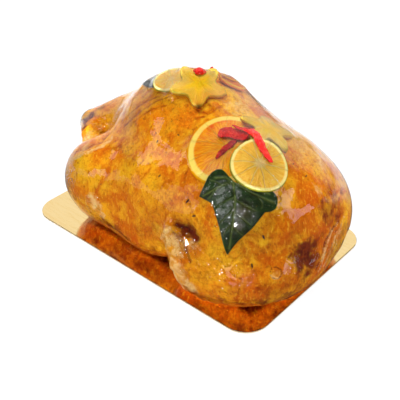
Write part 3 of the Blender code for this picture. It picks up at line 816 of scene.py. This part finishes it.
def greatest(count, masks):
    """The greatest of some masks at each of a count of points, which is 0 where there are none."""
    return np.max([np.zeros(count), *masks], axis=0)


def spots(points, tree, marks, size=MM):
    """How strong some round marks are at each point: each has a pixel, a radius and a strength."""
    return greatest(len(points), [
        strength * falloff(gap_to(points, place), radius * size)
        for across, down, radius, strength in marks
        for place in seen_path(tree, [(across, down)])
    ])


# The goose


def bead_places(form, pixels):
    """The middles of the beads of a roll, at the pixels it runs through."""
    places = []
    for pixel in pixels:
        if len(pixel) == 3:
            way, start = np.array(sight(*pixel[:2])), np.array(CAMERA_PLACE)
            places.append(start + way * ((pixel[2] * MM - start[0]) / way[0]))
        else:
            places += seen_path(form, [pixel])
    return places


def beaded_mesh(whole, form):
    """The goose with its rolls, bumps and webs grown into it."""
    work = bmesh.new()
    work.from_mesh(refined(whole, 1))
    chance = np.random.default_rng(BEAD_SEED)
    for radius, sunk, pixels in BEADS.values():
        places = bead_places(form, pixels)
        for start, end in zip(places[:-1], places[1:]):
            steps = max(int(np.linalg.norm(end - start) / (0.6 * radius * MM)), 1)
            for step in range(steps + 1):
                middle = Vector(start + (end - start) * step / steps)
                size = radius * MM * chance.uniform(0.8, 1.15)
                _, normal, _, _ = form.find_nearest(middle)
                ball = bmesh.ops.create_icosphere(work, subdivisions=2, radius=size)
                bmesh.ops.translate(work, verts=ball["verts"], vec=middle - normal * (sunk * size))
    beaded = bpy.data.meshes.new("goose_beaded")
    work.to_mesh(beaded)
    work.free()
    mesh = evaluated(beaded, "REMESH", mode="VOXEL", voxel_size=SKIN_GRAIN)
    around = Around(mesh)
    points = vectors_of(mesh)
    for _ in range(4):
        points = 0.4 * points + 0.6 * around.mean(points)
    put_points(mesh, points)
    return mesh


def hidden_marks(points, masks):
    """Stains on the sides that the photograph doesn't show, of the same kinds as on the sides it does."""
    behind = (points[:, 1] > 0.0) | (points[:, 0] < -0.1)
    for kind, size, shift, above, strength in (
        ("yellow", 0.055, 20.0, 0.05, 0.7),
        ("orange", 0.060, 31.0, 0.15, 0.8),
        ("brown", 0.035, 42.0, 0.42, 0.8),
        ("pale", 0.045, 53.0, 0.35, 0.6),
    ):
        field = ((rough(points, size, 3, shift) - above) / 0.25).clip(0, 1) * strength * behind
        masks[kind] = np.maximum(masks[kind], field)


def goose_piece(skin):
    """The goose's skin, with its marks painted on it. Gives the solid's form and the skin's mesh."""
    whole = merged_mesh("goose")
    form = tree_of(whole)
    mesh = beaded_mesh(whole, form)
    points, normals = vectors_of(mesh), vectors_of(mesh, "normal")
    skin_form = tree_of(mesh)
    uneven = MM * (1 + 0.35 * rough(points, 0.012, 2, 4.0))
    masks = {kind: spots(points, skin_form, marks, uneven) for kind, marks in MARKS.items()}
    masks["crack"] = np.zeros(len(points))
    lift = np.zeros(len(points))
    for kind, half_width, depth, pixels in LINES.values():
        path = seen_path(skin_form, pixels)
        if len(path) > 1:
            away = line_distance(points, path)
            masks[kind] = np.maximum(masks[kind], 0.9 * falloff(away, half_width * uneven))
            lift += depth * MM * falloff(away, 1.3 * half_width * MM)
    hidden_marks(points, masks)
    # Low on the goose, near the board, the skin is made amber and brown: painted shade.
    low = ((0.034 - points[:, 2]) / 0.02).clip(0, 1)
    blotched = (rough(points, 0.02, 3, 9.0) * 0.5 + 0.6).clip(0, 1)
    masks["amber"] = np.maximum(masks["amber"], 0.9 * low)
    masks["brown"] = np.maximum(masks["brown"], 0.65 * low * blotched)
    for depth, where, size, octaves, shift in (
        (0.0006, 1.0, 0.022, 3, 0.0),
        (0.0003, 1.0, 0.006, 3, 2.0),
        (0.0026, masks["pale"], 0.0065, 3, 6.0),
        (0.0010, low, 0.007, 2, 5.0),
    ):
        lift += depth * where * rough(points, size, octaves, shift)
    hollow = seen(form, *HOLLOW_PIXEL)[0]
    lift -= 0.0045 * falloff(gap_to(points, hollow), 0.0065)
    put_points(mesh, points + normals * lift[:, None])
    for kind, values in masks.items():
        paint(mesh, kind, values.clip(0, 1))
    add_piece("goose_skin", mesh, skin, "roast_skin", "goose")
    return form, mesh


# Slices and leaves


class Slab:
    """A finer closed mesh of a thin solid, laid out in rings about its middle."""

    def __init__(self, name, rings=16, sectors=160):
        source = merged_mesh(name)
        points = vectors_of(source)
        self.name, self.rings, self.sectors = name, rings, sectors
        self.form = tree_of(source)
        self.centre = (points.min(0) + points.max(0)) / 2
        self.up = np.linalg.svd(points - points.mean(0))[2][2]
        if self.up @ (points.mean(0) - np.array(GOOSE_MIDDLE)) < 0:
            self.up = -self.up
        right = np.array(PICTURE_RIGHT) - self.up * (np.array(PICTURE_RIGHT) @ self.up)
        self.right = right / np.linalg.norm(right)
        self.over = np.cross(self.up, self.right)
        flat = points - self.centre
        spread = np.c_[flat @ self.right, flat @ self.over]
        reach = np.linalg.norm(spread, axis=1).max() * 1.05
        self.turns = np.arange(sectors) * 2 * math.pi / sectors
        self.rims = np.array([self.rim(turn, reach) for turn in self.turns])
        out = np.r_[np.arange(1, rings) / rings, LAST_RING]
        self.edge = np.r_[0, np.repeat(out, sectors)]
        radius = np.r_[0, np.outer(out, self.rims).ravel()]
        self.angle = np.r_[0, np.tile(self.turns, rings)]
        self.x, self.y = radius * np.cos(self.angle), radius * np.sin(self.angle)
        self.flat = np.c_[self.x, self.y]
        heights = np.array([[self.cast(x, y, side) for side in (1, -1)] for x, y in self.flat])
        for i in np.flatnonzero(np.isnan(heights).any(1)):
            heights[i] = heights[max(i - sectors, 0)] if i else 0.0
        self.top, self.bottom = heights.T

    def at(self, x, y, height):
        outer = np.multiply.outer
        return self.centre + outer(x, self.right) + outer(y, self.over) + outer(height, self.up)

    def cast(self, x, y, side):
        """The height of the top or the bottom face over a flat place, or NaN past the rim."""
        start = self.at(x, y, side * CAST_FROM)
        hit = self.form.ray_cast(Vector(start), Vector(-side * self.up))[0]
        return np.nan if hit is None else (np.array(hit) - self.centre) @ self.up

    def rim(self, turn, reach):
        """How far out the solid runs in one direction."""
        low, high = 0.0, reach
        for _ in range(15):
            middle = (low + high) / 2
            if np.isnan(self.cast(middle * math.cos(turn), middle * math.sin(turn), 1)):
                high = middle
            else:
                low = middle
        return low

    def pixel(self, across, down):
        """The flat place under a pixel of the photograph."""
        hit = self.form.ray_cast(CAMERA_PLACE, sight(across, down))[0]
        if hit is None:
            way, start = np.array(sight(across, down)), np.array(CAMERA_PLACE)
            hit = start + way * (((self.centre - start) @ self.up) / (way @ self.up))
        offset = np.array(hit) - self.centre
        return np.array((offset @ self.right, offset @ self.over))

    def near(self, pixels, radius):
        """How near each point is to the nearest of some pixels' places."""
        gaps = [gap_to(self.flat, self.pixel(*pixel)) for pixel in pixels]
        return greatest(len(self.x), [falloff(gap, radius) for gap in gaps])

    def veined(self, paths, half_width):
        """How near each point is to the nearest of some lines through pixels."""
        lines = [[self.pixel(*pixel) for pixel in path] for path in paths]
        gaps = [line_distance(self.flat, line) for line in lines]
        return greatest(len(self.x), [falloff(gap, half_width) for gap in gaps])

    def mesh(self, lift):
        n, inner, faces = self.sectors, len(self.x), []
        for a in range(n):
            b = (a + 1) % n
            faces += [(0, 1 + a, 1 + b), (inner, inner + 1 + b, inner + 1 + a)]
            for ring in range(self.rings - 1):
                p, q = 1 + ring * n, 1 + (ring + 1) * n
                faces.append((p + a, q + a, q + b, p + b))
                faces.append((inner + p + b, inner + q + b, inner + q + a, inner + p + a))
            p, q = 1 + (self.rings - 1) * n, 2 * inner
            faces += [(p + a, q + a, q + b, p + b), (inner + p + b, q + b, q + a, inner + p + a)]
        rim = self.rims[:, None] * np.c_[np.cos(self.turns), np.sin(self.turns)]
        flat = np.r_[self.flat, self.flat, rim]
        height = np.r_[self.top + lift, self.bottom, (self.top[-n:] + self.bottom[-n:]) / 2]
        mesh = bpy.data.meshes.new(self.name)
        mesh.from_pydata(self.at(flat[:, 0], flat[:, 1], height).tolist(), [], faces)
        mesh.update()
        lay_uv(mesh, "slice", 0.5 + 0.5 * flat / self.rims.max())
        paint(mesh, "edge", np.r_[self.edge, self.edge, np.ones(n)])
        return mesh

    def piece(self, material, slot, lift, **masks):
        """The piece that stands for the solid, with its top lifted and masks painted on it."""
        mesh = self.mesh(lift)
        for mask, values in masks.items():
            paint(mesh, mask, np.r_[values, values, values[-self.sectors :]])
        return add_piece(self.name + "_piece", mesh, material, slot, self.name)


def round_slice(name, material, slot, segments, blushes):
    """A citrus slice with its segments swollen, and reddened at the pixels where juice has run."""
    slab = Slab(name)
    blush = slab.near(blushes, 0.0045 * (1 + 0.3 * np.sin(slab.angle * 9)))
    swell = np.sin(math.pi * slab.edge.clip(0, 0.85) / 0.85)
    bulge = 0.0005 * np.abs(np.sin(slab.angle * segments / 2)) * swell
    return slab.piece(material, slot, bulge, blush=blush)


def star_slice(name, material, arms, banding, thin_places, dark_tips):
    """A star fruit slice with two ridges out along each of its arms."""
    slab = Slab(name, 18, 200)
    gaps = [line_distance(slab.flat, [np.zeros(2), slab.pixel(*pixel)]) for pixel in arms]
    ridge = greatest(len(slab.x), [falloff(gap - RIDGE_GAP, 0.0012) for gap in gaps])
    ridge = ridge * (slab.edge > 0.3)
    tip, thin = slab.near(dark_tips, 0.0030), slab.near(thin_places, 0.011)
    return slab.piece(material, "star_fruit", 0.0005 * ridge, ridge=ridge * banding, tip=tip, thin=thin)


def ivy_piece(material):
    slab = Slab("ivy_leaf", 30, 200)
    lines = np.maximum(slab.veined(IVY_VEINS, 0.0008), 0.6 * slab.veined(IVY_BRANCHES, 0.0006))
    brown = np.maximum(slab.near([(243, 212)], 0.008), slab.near([(238, 226)], 0.006))
    quilting = np.abs(np.sin(slab.x / 0.0042) * np.cos(slab.y / 0.0050))
    lift = 0.0007 * (1 - lines) * (slab.edge < 0.95) * quilting
    return slab.piece(material, "leaf", lift, vein=lines, worn=brown)


def dark_leaf_piece(material):
    slab = Slab("top_dark_leaf", 14, 120)
    vein = falloff(np.abs(slab.y), 0.0007)
    return slab.piece(material, "dark_leaf", 0.0003 * (1 - vein), vein=vein * 0.5, worn=0 * vein)


def pepper_piece(name, material, darkness):
    mesh = refined(refined(merged_mesh(name), 1, "SIMPLE"), 2)
    points, normals = vectors_of(mesh), vectors_of(mesh, "normal")
    ribs = rough(points, 0.005, 3, 3.0)
    put_points(mesh, points + normals * (0.0009 * ribs)[:, None])
    paint(mesh, "dark", (darkness + 0.4 * ribs * darkness).clip(0, 1))
    return add_piece(name + "_piece", mesh, material, "red_pepper", name)


# The film


def film_folds(form, place):
    """Folds drawn into the film, and the ring about the dimple."""
    lift = np.zeros(len(place))
    for height, half_width, paths in FILM_FOLDS:
        for pixels in paths:
            path = seen_path(form, pixels)
            if len(path) > 1:
                lift += height * MM * falloff(line_distance(place, path), half_width * MM)
    ring = gap_to(place, seen(form, *DIMPLE_PIXEL)[0])
    return lift + 0.0010 * falloff(ring - 0.0060, 0.0018)


def film_piece(goose_form, skin_mesh, toppings, material):
    """Shrink film drawn tight over the goose and what lies on it: it touches the high places and
    spans the hollows between them."""
    mesh = refined(merged_mesh("goose"), 1)
    around = Around(mesh)
    points, normals = vectors_of(mesh), vectors_of(mesh, "normal")
    for _ in range(8):
        normals = around.mean(normals)
        normals /= np.linalg.norm(normals, axis=1)[:, None]
    under = tree_of(skin_mesh, *(piece.data for piece in toppings))
    least = np.full(len(points), FILM_GAP)
    for i, (point, normal) in enumerate(zip(points, normals)):
        way = Vector(normal)
        hit, face, _, distance = under.ray_cast(Vector(point) + way * FILM_REACH, -way, FILM_REACH + 0.002)
        if hit is not None and face.dot(way) > 0.15:
            least[i] = max(FILM_REACH - distance + FILM_GAP, 0.0004)
    least = np.maximum(least, around.mean(around.mean(least)) - 0.001)
    height = least.copy()
    for _ in range(FILM_PASSES):
        place = points + normals * height[:, None]
        pull = ((around.mean(place) - place) * normals).sum(1)
        height = np.maximum(least, height + 0.9 * pull)
    height += film_folds(goose_form, points + normals * height[:, None])
    for _ in range(2):
        height = np.maximum(0.5 * height + 0.5 * around.mean(height), least)
    place = points + normals * height[:, None]
    place[:, 2] = np.maximum(place[:, 2], FILM_LOW)
    put_points(mesh, place)
    mesh = refined(mesh, 1)
    paint(mesh, "wrinkle", spots(vectors_of(mesh), goose_form, WRINKLES))
    return add_piece("shrink_film", mesh, material, "roast_skin")


# Herb flecks


def fleck_tree(material):
    """Geometry nodes that put a small flat flake at each point, turned to lie on the skin."""
    tree = bpy.data.node_groups.new("herb_flecks", "GeometryNodeTree")
    sockets = {}
    for label, kind in (("Points", "Geometry"), ("Length", "Float"), ("Width", "Float"), ("Seed", "Int")):
        made = tree.interface.new_socket(label, in_out="INPUT", socket_type="NodeSocket" + kind)
        sockets[label] = made.identifier
    tree.interface.new_socket("Flecks", in_out="OUTPUT", socket_type="NodeSocketGeometry")
    nodes = Nodes(tree)
    given = nodes.add("NodeGroupInput").outputs

    def first(kind, ins, **settings):
        return nodes.add(kind, ins, **settings).outputs[0]

    def stored(name, kind):
        made = nodes.add("GeometryNodeInputNamedAttribute", {"Name": name}, data_type=kind)
        return made.outputs["Attribute"]

    flake = first("GeometryNodeMeshIcoSphere", {"Radius": 0.5, "Subdivisions": 2})
    scale = nodes.joined(given["Length"], given["Width"], given["Width"])
    flat = first("GeometryNodeTransform", {"Geometry": flake, "Scale": scale})
    facing = {"Vector": stored("facing", "FLOAT_VECTOR")}
    lean = first("FunctionNodeAlignRotationToVector", facing, axis="Z")
    turns = {0: (0, -0.25, 0), 1: (0, 0.25, 2 * math.pi), "Seed": given["Seed"]}
    spin = first("FunctionNodeRandomValue", turns, data_type="FLOAT_VECTOR")
    spun = first("FunctionNodeEulerToRotation", {0: spin})
    turned = first("FunctionNodeRotateRotation", {0: lean, 1: spun}, rotation_space="LOCAL")
    flakes = first(
        "GeometryNodeInstanceOnPoints",
        {"Points": given["Points"], "Instance": flat, "Rotation": turned, "Scale": stored("size", "FLOAT")},
    )
    real = first("GeometryNodeRealizeInstances", {0: flakes})
    dressed = first("GeometryNodeSetMaterial", {"Geometry": real, "Material": material})
    nodes.add("NodeGroupOutput", {0: dressed})
    return tree, sockets


def fleck_piece(form, material):
    chance = np.random.default_rng(FLECK_SEED)
    places, facings, sizes = [], [], []

    def put(place, normal, size):
        places.append(np.array(place) + np.array(normal) * 0.0003)
        facings.append(np.array(normal))
        sizes.append(size * MM)

    for across, down, length in FLECK_PIXELS:
        hit = seen(form, across, down)
        if hit is not None:
            put(*hit, length)
    while len(places) < LOOSE_FLECKS + len(FLECK_PIXELS):
        way = chance.normal(size=3)
        way /= np.linalg.norm(way)
        hit, normal, _, _ = form.ray_cast(GOOSE_MIDDLE + Vector(way * 0.5), Vector(-way))
        if hit is not None and hit.z > 0.03:
            put(hit, normal, chance.uniform(0.4, 1.3))
    mesh = bpy.data.meshes.new("fleck_places")
    mesh.from_pydata([tuple(p) for p in places], [], [])
    facing = mesh.attributes.new("facing", "FLOAT_VECTOR", "POINT")
    facing.data.foreach_set("vector", np.array(facings, np.float32).ravel())
    paint(mesh, "size", np.array(sizes))
    tree, sockets = fleck_tree(material)
    values = {sockets["Length"]: 1.0, sockets["Width"]: 0.34, sockets["Seed"]: FLECK_SEED}
    return add_piece("herb_flecks", evaluated(mesh, "NODES", values, node_group=tree), material, "dark_leaf")


# Studio


def place_camera():
    data = bpy.data.cameras.new("photo_camera")
    data.lens, data.sensor_width, data.clip_start = CAMERA_LENS, 36, 0.01
    camera = bpy.data.objects.new("photo_camera", data)
    camera.location = CAMERA_PLACE
    camera.rotation_euler = [math.radians(a) for a in CAMERA_TURN]
    SCENE.collection.objects.link(camera)
    SCENE.camera = camera


def towards(azimuth, elevation):
    a, e = math.radians(azimuth), math.radians(elevation)
    return Vector((math.cos(e) * math.cos(a), math.cos(e) * math.sin(a), math.sin(e)))


def place_light(name, location, way, width, height, power, glossy=True):
    """A rectangle of light that shines back along a direction."""
    data = bpy.data.lights.new(name, "AREA")
    data.shape, data.size, data.size_y, data.energy = "RECTANGLE", width, height, power
    lamp = bpy.data.objects.new(name, data)
    lamp.location = location
    lamp.rotation_euler = way.to_track_quat("Z", "Y").to_euler()
    lamp.visible_camera = False
    lamp.visible_glossy = glossy
    SCENE.collection.objects.link(lamp)


def place_lights():
    for name, (turn, width, height, radiance) in SOFT_BOXES.items():
        way, power = towards(*turn), radiance * math.pi * width * height
        place_light(name, GOOSE_MIDDLE + way * BOX_DISTANCE, way, width, height, power)
    for name, (turn, side, distance, power) in FILLS.items():
        way = towards(*turn)
        place_light(name, GOOSE_MIDDLE + way * distance, way, side, side, power, glossy=False)
    for name, ((x, y), long_x, long_y) in FOIL_BOUNCE.items():
        power = BOUNCE_RADIANCE * math.pi * long_x * long_y
        place_light(name, (x, y, BOUNCE_HEIGHT), Vector((0, 0, -1)), long_x, long_y, power, glossy=False)


def floor_material():
    """Pale paper. What mirrors it sees it dark in front of the goose, and light behind."""
    nodes, place = started("studio_floor")
    mirrored = nodes.ramp(nodes.behind(place), 0.0, 0.25, 0.05, 0.70)
    grey = nodes.by_ray("Is Glossy Ray", 0.85, mirrored)
    paper = nodes.add("ShaderNodeBsdfDiffuse", {"Color": grey})
    glow = nodes.add("ShaderNodeEmission", {"Color": WHITE, "Strength": 1.04})
    lit = nodes.times(nodes.add("ShaderNodeLightPath").outputs["Is Camera Ray"], 0.9)
    return nodes.surfaced(nodes.blended(lit, paper, glow))


def build_studio():
    place_lights()
    SCENE.world = bpy.data.worlds.new("studio")
    nodes = emptied(SCENE.world)
    way = nodes.add("ShaderNodeTexCoord").outputs["Generated"]
    bright = nodes.ramp(nodes.behind(way), 0.28, 0.55, SURROUND_DARK, BACKDROP_WHITE)
    level = nodes.by_ray("Is Camera Ray", bright, 1.0)
    backdrop = nodes.add("ShaderNodeBackground", {"Color": WHITE, "Strength": level})
    nodes.surfaced(backdrop, "ShaderNodeOutputWorld")
    sides = (-FLOOR_REACH, FLOOR_REACH)
    mesh = bpy.data.meshes.new("floor")
    mesh.from_pydata([(x, y, FLOOR_LEVEL) for x in sides for y in sides], [], [(0, 2, 3, 1)])
    mesh.materials.append(floor_material())
    floor = bpy.data.objects.new("floor", mesh)
    SCENE.collection.objects.link(floor)
    SCENE.view_settings.view_transform = "Standard"


def main():
    place_camera()
    build_studio()
    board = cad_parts["board"]
    board.data.materials.clear()
    board.data.materials.append(board_material())
    form, skin_mesh = goose_piece(skin_material())
    citrus = {kind: citrus_material(*row) for kind, row in CITRUS.items()}
    star, pepper = star_fruit_material(), pepper_material()
    toppings = [
        round_slice(name, citrus[kind], slot, CITRUS[kind][2]["Segments"], blushes)
        for name, (kind, slot, blushes) in ROUND_SLICES.items()
    ]
    toppings += [star_slice(name, star, *row) for name, row in STAR_SLICES.items()]
    toppings.append(ivy_piece(leaf_material("ivy_leaf", "14280C", "2A4816", "96A858")))
    toppings.append(dark_leaf_piece(leaf_material("dark_leaf", "0A120C", "142014", "2A3A20")))
    toppings += [pepper_piece(name, pepper, darkness) for name, darkness in PEPPERS.items()]
    film_piece(form, skin_mesh, toppings, film_material())
    fleck_piece(form, fleck_material())


main()
